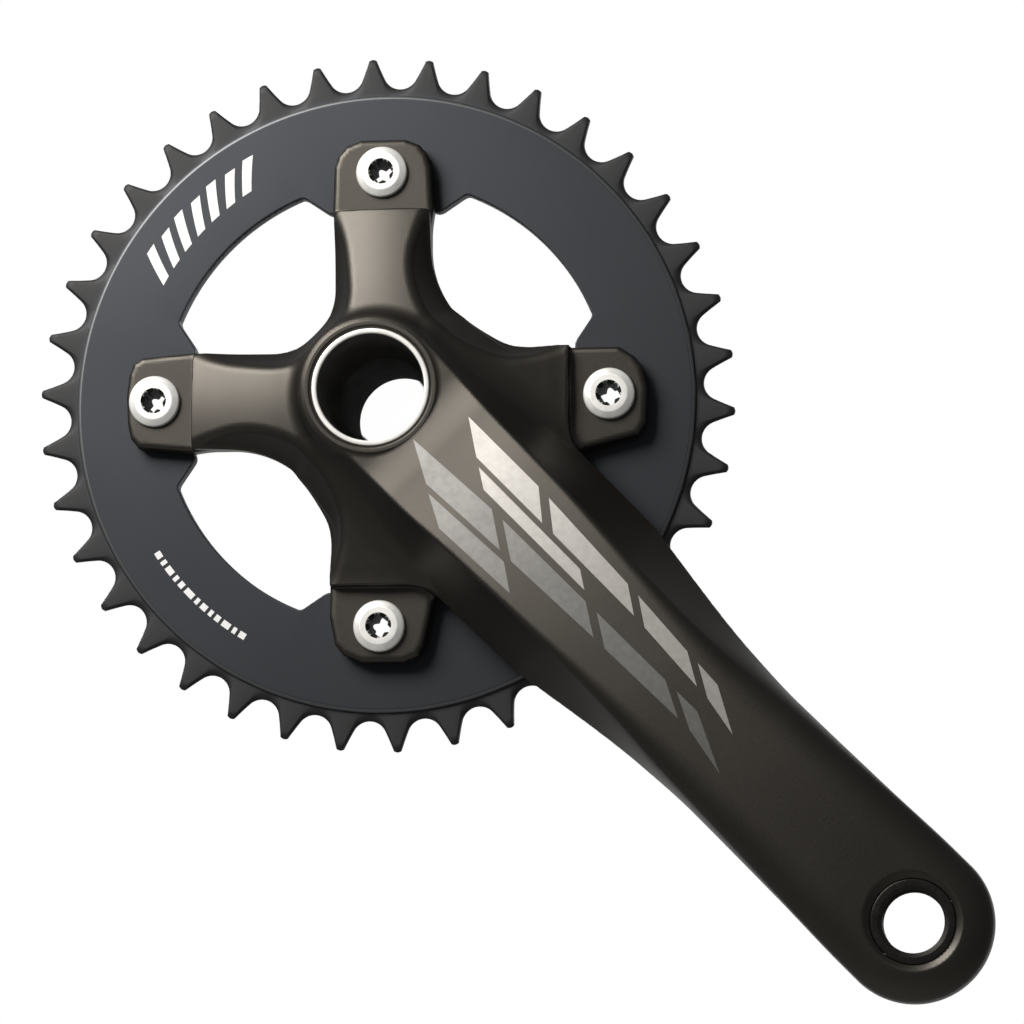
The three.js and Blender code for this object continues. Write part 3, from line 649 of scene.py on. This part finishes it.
for side, nm, f in ((-1, "right", RF_), (1, "left", LF)):
    o = f + 10.5
    ob = cup_mesh(f"cup_{nm}", side, f)
    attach(ob, "bottom_bracket"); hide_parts(f"bearing_cup_{nm}")
    ob = lathe(f"outer_race_{nm}", ysign([(16.7, o - 7.3, 0.2), (18.2, o - 7.3, 0.4), (18.2, o - 0.4, 0.4), (16.7, o - 0.4, 0.2), (16.7, o - 2.1, 0), (17.3, o - 2.8, 0), (17.5, o - 3.8, 0), (17.3, o - 4.8, 0), (16.7, o - 5.5, 0)], side), 128)
    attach(ob, "bottom_bracket"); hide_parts(f"bearing_outer_race_{nm}")
    ob = lathe(f"inner_race_{nm}", ysign([(12.95, o - 7.3, 0.3), (14.3, o - 7.3, 0.2), (14.3, o - 5.5, 0), (13.7, o - 4.8, 0), (13.5, o - 3.8, 0), (13.7, o - 2.8, 0), (14.3, o - 2.1, 0), (14.3, o - 0.4, 0.2), (12.95, o - 0.4, 0.3)], side), 128)
    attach(ob, "crank"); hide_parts(f"bearing_inner_race_{nm}")
    ob = lathe(f"seal_{nm}", ysign([(14.55, o - 0.05, 0.1), (18.1, o - 0.05, 0.1), (18.1, o + 0.35, 0.15), (16.9, o + 0.45, 0.2), (16.3, o + 0.2, 0.2), (15.2, o + 0.2, 0.2), (14.8, o + 0.42, 0.12), (14.55, o + 0.42, 0.1)], side), 128)
    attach(ob, "bottom_bracket"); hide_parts(f"bearing_seal_{nm}")
    ob = lathe(f"bushing_{nm}", ysign([(12.06, o - 7.2, 0.1), (12.65, o - 7.2, 0.1), (12.65, o - 0.02, 0.1), (14.2, o - 0.02, 0.1), (14.2, o + 0.7, 0.3), (12.06, o + 0.7, 0.2)], side), 128)
    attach(ob, "crank"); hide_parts(f"spindle_bushing_{nm}")
    # balls in their cage: true spheres on one ring
    bm = bmesh.new()
    yb = side * (o - 3.8) * MM
    for i in range(19):
        a = 2 * math.pi * i / 19
        r = bmesh.ops.create_uvsphere(bm, u_segments=20, v_segments=12, radius=1.68 * MM)
        bmesh.ops.translate(bm, verts=r["verts"], vec=(15.5 * MM * math.cos(a), yb, 15.5 * MM * math.sin(a)))
    me = bpy.data.meshes.new("balls"); bm.to_mesh(me); bm.free()
    balls = bpy.data.objects.new(f"bearing_balls_{nm}", me); bpy.context.scene.collection.objects.link(balls)
    cage = lathe("cage", ysign([(15.0, o - 4.7, 0.2), (16.0, o - 4.7, 0.2), (16.0, o - 2.9, 0.2), (15.0, o - 2.9, 0.2)], side), 114)
    for p in balls.data.polygons: p.use_smooth = True
    bpy.ops.object.select_all(action="DESELECT")
    cage.select_set(True); balls.select_set(True); bpy.context.view_layer.objects.active = balls
    bpy.ops.object.join()
    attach(balls, f"ball_cage_{nm}"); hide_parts(f"ball_cage_{nm}")

spacer = lathe("shell_spacer_ring", [(17.7, -39.0, 0.3), (20.5, -39.0, 0.35), (20.5, -36.5, 0.35), (17.7, -36.5, 0.3)], 160)
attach(spacer, "bottom_bracket"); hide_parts("shell_spacer")
sl = [(13.9, -31, 0.3), (15.1, -31, 0.5), (15.1, -26.6, 0.15), (14.7, -26.6, 0.15), (14.7, -25, 0.15), (15.1, -25, 0.15), (15.1, -21, 0.5), (16.4, -19.5, 0.8)]
for k in range(-3, 4):
    y = k * 4.6
    sl += [(16.4, y - 0.9, 0.3), (16.15, y - 0.5, 0.3), (16.15, y + 0.5, 0.3), (16.4, y + 0.9, 0.3)]
sl += [(16.4, 19.5, 0.8), (15.1, 21, 0.5), (15.1, 25, 0.15), (14.7, 25, 0.15), (14.7, 26.6, 0.15), (15.1, 26.6, 0.15), (15.1, 31, 0.5), (13.9, 31, 0.3)]
sleeve = lathe("inner_sleeve", sl, 160)
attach(sleeve, "bottom_bracket"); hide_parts("shell_sleeve")
for nm, y in (("right", -25.8), ("left", 25.8)):
    ob = lathe(f"o_ring_{nm}", [(15.15 + 0.4 * math.cos(t), y + 0.5 * math.sin(t), 0) for t in np.linspace(0, 2 * math.pi, 16, endpoint=False)], 128, smooth=60)
    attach(ob, "bottom_bracket"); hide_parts(f"sleeve_o_ring_{nm}")

# ---------------------------------------------------------------- graphics: plain slanted bars, a hair proud of the surface
def surface_h(u, v):
    """Height of the arm's outer face at (u, v), found on the field itself."""
    x, z = CU * u - SU * v, SU * u + CU * v
    a, b = np.full(u.shape, 66.0), np.full(u.shape, 88.0)
    for _ in range(26):
        m = (a + b) / 2
        inside = arm_field(x, -m, z) < 0
        a, b = np.where(inside, m, a), np.where(inside, b, m)
    return (a + b) / 2

def decal(name, quads, height, to_xz, over=0.03, under=0.12, cell=1.6):
    """Closed sheets over quads given as four corners each, in order round the quad."""
    verts, faces = [], []
    for q in quads:
        q = np.array(q, float)
        n = max(2, int(max(np.linalg.norm(q[1] - q[0]), np.linalg.norm(q[2] - q[3])) / cell) + 1)
        m = max(2, int(max(np.linalg.norm(q[3] - q[0]), np.linalg.norm(q[2] - q[1])) / cell) + 1)
        a = np.linspace(0, 1, n)[:, None, None]; b = np.linspace(0, 1, m)[None, :, None]
        P = (q[0] * (1 - a) + q[1] * a) * (1 - b) + (q[3] * (1 - a) + q[2] * a) * b
        U_, V_ = P[..., 0].ravel(), P[..., 1].ravel()
        H = height(U_, V_)
        X, Z = to_xz(U_, V_)
        o = len(verts); k = n * m
        for hh in (H + over, H - under):
            verts += np.stack([X, -hh, Z], 1).tolist()
        g = lambda i, j, l: o + l * k + i * m + j
        for i in range(n - 1):
            for j in range(m - 1):
                faces.append((g(i, j, 0), g(i + 1, j, 0), g(i + 1, j + 1, 0), g(i, j + 1, 0)))
                faces.append((g(i, j, 1), g(i, j + 1, 1), g(i + 1, j + 1, 1), g(i + 1, j, 1)))
        for i in range(n - 1):
            faces.append((g(i, 0, 0), g(i, 0, 1), g(i + 1, 0, 1), g(i + 1, 0, 0)))
            faces.append((g(i, m - 1, 0), g(i + 1, m - 1, 0), g(i + 1, m - 1, 1), g(i, m - 1, 1)))
        for j in range(m - 1):
            faces.append((g(0, j, 0), g(0, j + 1, 0), g(0, j + 1, 1), g(0, j, 1)))
            faces.append((g(n - 1, j, 0), g(n - 1, j, 1), g(n - 1, j + 1, 1), g(n - 1, j + 1, 0)))
    return link(name, verts, faces, 40)

uv_to_xz = lambda u, v: (CU * u - SU * v, SU * u + CU * v)
# rows of long slanted stripes that run along the lever, paler above and dimmer below
LIGHT_BARS = [[(21.0, 10.6), (44.0, 10.4), (50.5, 5.2), (29.0, 5.4)],
              [(47.5, 10.2), (74.0, 8.8), (80.0, 4.8), (54.0, 5.2)],
              [(77.5, 8.6), (94.0, 7.4), (101.0, 3.4), (83.5, 4.6)],
              [(31.0, 4.2), (64.0, 3.8), (68.0, 1.2), (35.5, 1.4)],
              [(97.5, 7.2), (104.0, 6.8), (114.0, 1.4), (104.5, 3.2)]]
DIM_BARS = [[(15.5, -1.6), (40.0, -0.4), (48.0, -5.6), (25.0, -6.6)],
            [(43.5, -0.4), (70.0, -0.4), (77.0, -4.8), (51.5, -5.6)],
            [(27.0, -7.8), (50.5, -6.8), (56.5, -10.8), (34.5, -11.6)],
            [(73.5, -0.4), (95.0, -0.4), (103.0, -4.4), (80.5, -4.8)],
            [(98.5, -0.4), (105.0, -0.4), (118.0, -6.6), (106.5, -4.4)]]
light_bars = decal("arm_bars_light", LIGHT_BARS, surface_h, uv_to_xz)
dim_bars = decal("arm_bars_dim", DIM_BARS, surface_h, uv_to_xz)
ring_h = lambda u, v: np.full(np.shape(u), 52.0)
polar = lambda a, r: (r * np.cos(np.radians(a)), r * np.sin(np.radians(a)))
RING_BARS = [[(151.5 - k * 4.5, 58.4), (149.1 - k * 4.5, 58.4), (145.0 - k * 4.5, 65.6 - 0.5 * (k % 2)), (147.4 - k * 4.5, 65.6 - 0.5 * (k % 2))] for k in range(7)]
RING_DASH = []
at_deg = 213.0
for k, n in enumerate((1.5, 0.9, 1.9, 0.9, 1.2, 2.3, 0.9, 1.5, 0.9, 1.2, 1.9, 0.9, 1.5)):
    RING_DASH.append([(at_deg, 61.4), (at_deg + n, 61.4), (at_deg + n, 62.9), (at_deg, 62.9)])
    at_deg += n + 0.75
ring_bars = decal("ring_bars", RING_BARS, ring_h, polar, cell=1.2)
ring_dash = decal("ring_dashes", RING_DASH, ring_h, polar, cell=0.8)
for ob in (light_bars, dim_bars):
    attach(ob, "crank")
for ob in (ring_bars, ring_dash):
    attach(ob, "crank")

# ---------------------------------------------------------------- materials
def nodes_of(name):
    m = bpy.data.materials.new(name); m.use_nodes = True
    nt = m.node_tree
    return m, nt, nt.nodes["Principled BSDF"]

def coords(nt, scale=(1, 1, 1), rot=(0, 0, 0)):
    tc = nt.nodes.new("ShaderNodeTexCoord")
    mp = nt.nodes.new("ShaderNodeMapping")
    mp.inputs["Scale"].default_value = scale
    mp.inputs["Rotation"].default_value = rot
    nt.links.new(tc.outputs["Object"], mp.inputs["Vector"])
    return mp.outputs["Vector"]

def noise(nt, vec, scale, detail=3.0, rough=0.5):
    n = nt.nodes.new("ShaderNodeTexNoise")
    n.inputs["Scale"].default_value = scale; n.inputs["Detail"].default_value = detail; n.inputs["Roughness"].default_value = rough
    nt.links.new(vec, n.inputs["Vector"])
    return n.outputs["Fac"]

def remap(nt, fac, a, b, c, d, smooth=True):
    n = nt.nodes.new("ShaderNodeMapRange")
    n.interpolation_type = "SMOOTHSTEP" if smooth else "LINEAR"
    for k, v in ((1, a), (2, b), (3, c), (4, d)):
        n.inputs[k].default_value = v
    nt.links.new(fac, n.inputs[0])
    return n.outputs[0]

def math_n(nt, op, a, b=None):
    n = nt.nodes.new("ShaderNodeMath"); n.operation = op
    for k, v in ((0, a), (1, b)):
        if v is None: continue
        if isinstance(v, (int, float)): n.inputs[k].default_value = v
        else: nt.links.new(v, n.inputs[k])
    return n.outputs[0]

def mix_col(nt, fac, a, b):
    n = nt.nodes.new("ShaderNodeMix"); n.data_type = "RGBA"
    if isinstance(fac, (int, float)): n.inputs[0].default_value = fac
    else: nt.links.new(fac, n.inputs[0])
    for k, v in ((6, a), (7, b)):
        if isinstance(v, tuple): n.inputs[k].default_value = (*v, 1)
        else: nt.links.new(v, n.inputs[k])
    return n.outputs[2]

def bump(nt, b, height, strength, dist):
    n = nt.nodes.new("ShaderNodeBump")
    n.inputs["Strength"].default_value = strength; n.inputs["Distance"].default_value = dist
    nt.links.new(height, n.inputs["Height"])
    nt.links.new(n.outputs["Normal"], b.inputs["Normal"])

def radius_from(nt, cx, cz):
    """Distance from an axis parallel to Y, in metres."""
    tc = nt.nodes.new("ShaderNodeTexCoord")
    sp = nt.nodes.new("ShaderNodeSeparateXYZ"); nt.links.new(tc.outputs["Object"], sp.inputs[0])
    dx = math_n(nt, "SUBTRACT", sp.outputs[0], cx); dz = math_n(nt, "SUBTRACT", sp.outputs[2], cz)
    return math_n(nt, "SQRT", math_n(nt, "ADD", math_n(nt, "MULTIPLY", dx, dx), math_n(nt, "MULTIPLY", dz, dz))), sp

def m_arm():
    m, nt, b = nodes_of("arm_anodised_bronze")
    fine = noise(nt, coords(nt), 5200, 2.0, 0.6)              # fine blasted grain
    broad = noise(nt, coords(nt), 34, 3.0, 0.5)
    col = mix_col(nt, remap(nt, broad, 0.3, 0.7, 0, 1), (0.0555, 0.0508, 0.0447), (0.0640, 0.0588, 0.0519))
    col = mix_col(nt, remap(nt, fine, 0.35, 0.65, 0.0, 0.08), col, (0.13, 0.12, 0.105))
    nt.links.new(col, b.inputs["Base Color"])
    nt.links.new(remap(nt, fine, 0.25, 0.75, 0.37, 0.47), b.inputs["Roughness"])
    b.inputs["Metallic"].default_value = 0.92
    b.inputs["Specular IOR Level"].default_value = 0.45
    bump(nt, b, fine, 0.16, 0.00006)
    return m

def m_ring():
    m, nt, b = nodes_of("ring_anodised_blue_grey")
    r, sp = radius_from(nt, 0.0, 0.0)
    w = nt.nodes.new("ShaderNodeTexNoise"); w.noise_dimensions = "1D"
    w.inputs["Scale"].default_value = 4200; w.inputs["Detail"].default_value = 2.0
    nt.links.new(r, w.inputs["W"])                            # turning marks
    fine = noise(nt, coords(nt), 6000, 2.0, 0.6)
    broad = noise(nt, coords(nt), 22, 2.0, 0.5)
    col = mix_col(nt, remap(nt, broad, 0.3, 0.7, 0, 1), (0.0345, 0.0375, 0.0430), (0.0390, 0.0420, 0.0475))
    # the toothed rim beyond the step is machined after anodising less evenly: a shade browner and darker
    edge = remap(nt, r, 0.0710, 0.0720, 0, 1)
    col = mix_col(nt, edge, col, (0.041, 0.041, 0.042))
    # painted highlight: a paler band painted round the bevel at the step's edge, standing in for the light that bevel
    # catches
    line = math_n(nt, "MULTIPLY", remap(nt, r, 0.07022, 0.07034, 0, 1), remap(nt, r, 0.07092, 0.07102, 1, 0))
    col = mix_col(nt, line, col, (0.125, 0.128, 0.134))
    nt.links.new(col, b.inputs["Base Color"])
    rough = remap(nt, math_n(nt, "ADD", math_n(nt, "MULTIPLY", w.outputs["Fac"], 0.6), math_n(nt, "MULTIPLY", fine, 0.4)), 0.3, 0.7, 0.44, 0.53)
    nt.links.new(math_n(nt, "ADD", rough, math_n(nt, "MULTIPLY", edge, 0.13)), b.inputs["Roughness"])
    b.inputs["Metallic"].default_value = 0.85
    bump(nt, b, w.outputs["Fac"], 0.10, 0.00004)
    return m

def m_bright(name, base, rough, cx=0.0, cz=0.0, marks=9000, metal=1.0):
    m, nt, b = nodes_of(name)
    r, sp = radius_from(nt, cx, cz)
    w = nt.nodes.new("ShaderNodeTexNoise"); w.noise_dimensions = "1D"
    w.inputs["Scale"].default_value = marks; w.inputs["Detail"].default_value = 2.0
    nt.links.new(r, w.inputs["W"])
    blot = noise(nt, coords(nt), 420, 3.0, 0.6)
    dark = tuple(c * 0.86 for c in base)
    nt.links.new(mix_col(nt, remap(nt, blot, 0.3, 0.72, 0, 1), base, dark), b.inputs["Base Color"])
    nt.links.new(remap(nt, w.outputs["Fac"], 0.3, 0.7, rough * 0.8, rough * 1.25), b.inputs["Roughness"])
    b.inputs["Metallic"].default_value = metal
    bump(nt, b, w.outputs["Fac"], 0.08, 0.00003)
    return m

def m_plain(name, a, c, scale, r0, r1, metal=0.0, bstr=0.1, bdist=0.00005):
    m, nt, b = nodes_of(name)
    f = noise(nt, coords(nt), scale, 4.0, 0.55)
    g = noise(nt, coords(nt), scale * 9, 2.0, 0.5)
    nt.links.new(mix_col(nt, remap(nt, f, 0.3, 0.7, 0, 1), a, c), b.inputs["Base Color"])
    nt.links.new(remap(nt, g, 0.3, 0.7, r0, r1), b.inputs["Roughness"])
    b.inputs["Metallic"].default_value = metal
    bump(nt, b, g, bstr, bdist)
    return m

M_ARM, M_RING = m_arm(), m_ring()
M_BOLT = {k: m_bright("bolt_steel_" + k, (0.87, 0.865, 0.84), 0.42, BCD_R * MM * math.cos(math.radians(a)), BCD_R * MM * math.sin(math.radians(a)), metal=0.45) for k, a in SEATS.items()}
# painted shade: a near-black colour for the recesses in the bolt sockets and sleeve nuts
M_SOCKET = m_plain("socket_dark_oxide", (0.012, 0.012, 0.012), (0.02, 0.02, 0.019), 900, 0.55, 0.75, 0.6)
M_SPINDLE = m_bright("spindle_steel", (0.80, 0.785, 0.755), 0.40, marks=6000, metal=0.5)
M_POLISH, _nt, _b = nodes_of("spindle_bore_polished")       # honed bright: no marks
_nt.links.new(mix_col(_nt, remap(_nt, noise(_nt, coords(_nt), 60), 0.3, 0.7, 0, 1), (0.985, 0.985, 0.98), (0.995, 0.995, 0.99)), _b.inputs["Base Color"])
_b.inputs["Metallic"].default_value = 1.0
_b.inputs["Roughness"].default_value = 0.02
# a dark colour for the bore from the arm's end to y = -21 mm
M_BORE = m_plain("spindle_bore_black_coating", (0.060, 0.058, 0.056), (0.085, 0.082, 0.078), 260, 0.75, 0.9, 0.0)
M_INSERT = m_plain("insert_black_steel", (0.035, 0.033, 0.030), (0.05, 0.047, 0.043), 500, 0.32, 0.45, 0.95)
M_CUP = m_plain("cup_black_anodised", (0.030, 0.031, 0.034), (0.040, 0.041, 0.045), 300, 0.36, 0.48, 0.85)
M_SPACER = m_plain("spacer_black_anodised", (0.035, 0.036, 0.038), (0.045, 0.046, 0.05), 400, 0.4, 0.5, 0.8)
M_PLASTIC = m_plain("black_plastic", (0.016, 0.016, 0.017), (0.024, 0.024, 0.025), 200, 0.48, 0.6, 0.0, 0.15)
M_RUBBER = m_plain("seal_rubber", (0.012, 0.012, 0.012), (0.02, 0.02, 0.02), 300, 0.68, 0.82, 0.0, 0.2)
M_RACE = m_bright("bearing_steel", (0.66, 0.67, 0.69), 0.16, marks=8000)
M_PALE = m_plain("graphic_pale", (0.32, 0.308, 0.29), (0.36, 0.348, 0.33), 700, 0.36, 0.46, 0.55, 0.1)
M_DIM = m_plain("graphic_dim", (0.14, 0.138, 0.132), (0.165, 0.162, 0.156), 700, 0.36, 0.46, 0.7, 0.1)
M_WHITE = m_plain("graphic_white", (0.74, 0.74, 0.74), (0.80, 0.80, 0.80), 700, 0.5, 0.6, 0.0, 0.1)

def give(ob, *ms):
    ob.data.materials.clear()
    for m in ms:
        ob.data.materials.append(m)

def paint(ob, test, k=1):
    """Material k on the faces whose centre passes test (mm)."""
    c = np.empty(len(ob.data.polygons) * 3); ob.data.polygons.foreach_get("center", c)
    c = c.reshape(-1, 3) / MM
    idx = np.where(test(c), k, 0).astype(np.int32)
    ob.data.polygons.foreach_set("material_index", idx)

KINDS = (("forged", M_ARM), ("hub_rim", M_ARM), ("chainring_38", M_RING), ("hollow", M_SPINDLE), ("pedal_insert", M_INSERT), ("cup_", M_CUP), ("shell_spacer", M_SPACER),
         ("inner_sleeve", M_PLASTIC), ("bushing", M_PLASTIC), ("seal", M_RUBBER), ("o_ring", M_RUBBER), ("outer_race", M_RACE), ("inner_race", M_RACE), ("bearing_balls", M_RACE),
         ("arm_bars_light", M_PALE), ("arm_bars_dim", M_DIM), ("ring_bars", M_WHITE), ("ring_dashes", M_WHITE))
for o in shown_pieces():
    if "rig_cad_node" in o: continue
    if o.name.startswith(("bolt_", "sleeve_nut_")):
        give(o, M_BOLT[o.name.split("_")[-1]], M_SOCKET)
        bx, bz = BCD_R * math.cos(math.radians(SEATS[o.name.split("_")[-1]])), BCD_R * math.sin(math.radians(SEATS[o.name.split("_")[-1]]))
        lim = 2.9 if o.name.startswith("bolt_") else 4.2
        # painted shade: the socket walls, the chamfer round the socket's mouth and the nut bores take the near-black
        # colour
        paint(o, lambda c: (np.hypot(c[:, 0] - bx, c[:, 2] - bz) < lim) & (c[:, 1] > -58.75))
        continue
    for k, m in KINDS:
        if o.name.startswith(k):
            give(o, m); break
give(spindle, M_SPINDLE, M_BORE, M_POLISH)
def bore_kind(c):
    r = np.hypot(c[:, 0], c[:, 2])
    return np.where((r < 12.0) & (c[:, 1] > -72.8) & (c[:, 1] < -21.0), 1, np.where((r < 10.5) & (c[:, 1] > -21.0) & (c[:, 1] < 66), 2, 0))
c = np.empty(len(spindle.data.polygons) * 3); spindle.data.polygons.foreach_get("center", c)
spindle.data.polygons.foreach_set("material_index", bore_kind(c.reshape(-1, 3) / MM).astype(np.int32))

# ---------------------------------------------------------------- camera, floor, lights
cam_data = bpy.data.cameras.new("camera")
cam = bpy.data.objects.new("camera", cam_data)
bpy.context.scene.collection.objects.link(cam)
RT = Vector((0.99243377, 0.12276543, 0.00196713)); FW = Vector((-0.12190152, 0.98328256, 0.13526062)); UP = Vector((0.01467109, -0.134477, 0.9908081))
cam.matrix_world = Matrix(((RT.x, UP.x, -FW.x, 0.16209513), (RT.y, UP.y, -FW.y, -1.12258318), (RT.z, UP.z, -FW.z, -0.17308118), (0, 0, 0, 1)))
cam_data.sensor_width = 36.0
cam_data.lens = 4818.6 / 1024 * 36.0
cam_data.clip_end = 50
cam_data.dof.use_dof = False
bpy.context.scene.camera = cam

world = bpy.data.worlds.new("studio"); bpy.context.scene.world = world
world.use_nodes = True
wt = world.node_tree
bg = wt.nodes["Background"]
tc = wt.nodes.new("ShaderNodeTexCoord"); sp = wt.nodes.new("ShaderNodeSeparateXYZ")
wt.links.new(tc.outputs["Generated"], sp.inputs[0])
lift = remap(wt, sp.outputs[1], 0.915, 0.945, WORLD_DIM, 1.0)     # a white sweep straight behind, soft grey elsewhere
wt.links.new(lift, bg.inputs["Strength"])
bg.inputs["Color"].default_value = (1, 1, 1, 1)

def area(name, loc, target, size, power, color=(1, 1, 1), size_y=None):
    d = bpy.data.lights.new(name, "AREA"); d.energy = power; d.size = size; d.color = color
    if size_y: d.shape = "RECTANGLE"; d.size_y = size_y
    o = bpy.data.objects.new(name, d); bpy.context.scene.collection.objects.link(o)
    o.location = loc
    o.rotation_euler = (Vector(target) - Vector(loc)).to_track_quat("-Z", "Y").to_euler()
    return o
area("key", KEY_AT, (0.02, -0.06, 0), KEY_SIZE, KEY_W, (1.0, 0.975, 0.94))
# two large soft panels behind the object, out of the picture: they light the ring, the bearings and the spindle for the
# views from behind, and leave the forging's flanks as the front light shows them
back_lit = bpy.data.collections.new("back_lit")
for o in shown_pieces():
    if not o.name.startswith(("forged", "hub_rim", "arm_bars", "bolt_")):
        back_lit.objects.link(o)
for name, at, power in (("back_left", (-0.95, 1.25, 0.55), 24.0), ("back_right", (1.15, 0.95, 0.30), 18.0)):
    area(name, at, (0, 0, 0), 0.9, power).light_linking.receiver_collection = back_lit

floor = prism("studio_floor", [(-2000, -710), (2000, -710), (2000, -700), (-2000, -700)], -2000, 1600)
give(floor, m_plain("floor_pale", (0.74, 0.74, 0.73), (0.78, 0.78, 0.77), 3, 0.7, 0.85))
bpy.context.scene.view_settings.view_transform = "Standard"
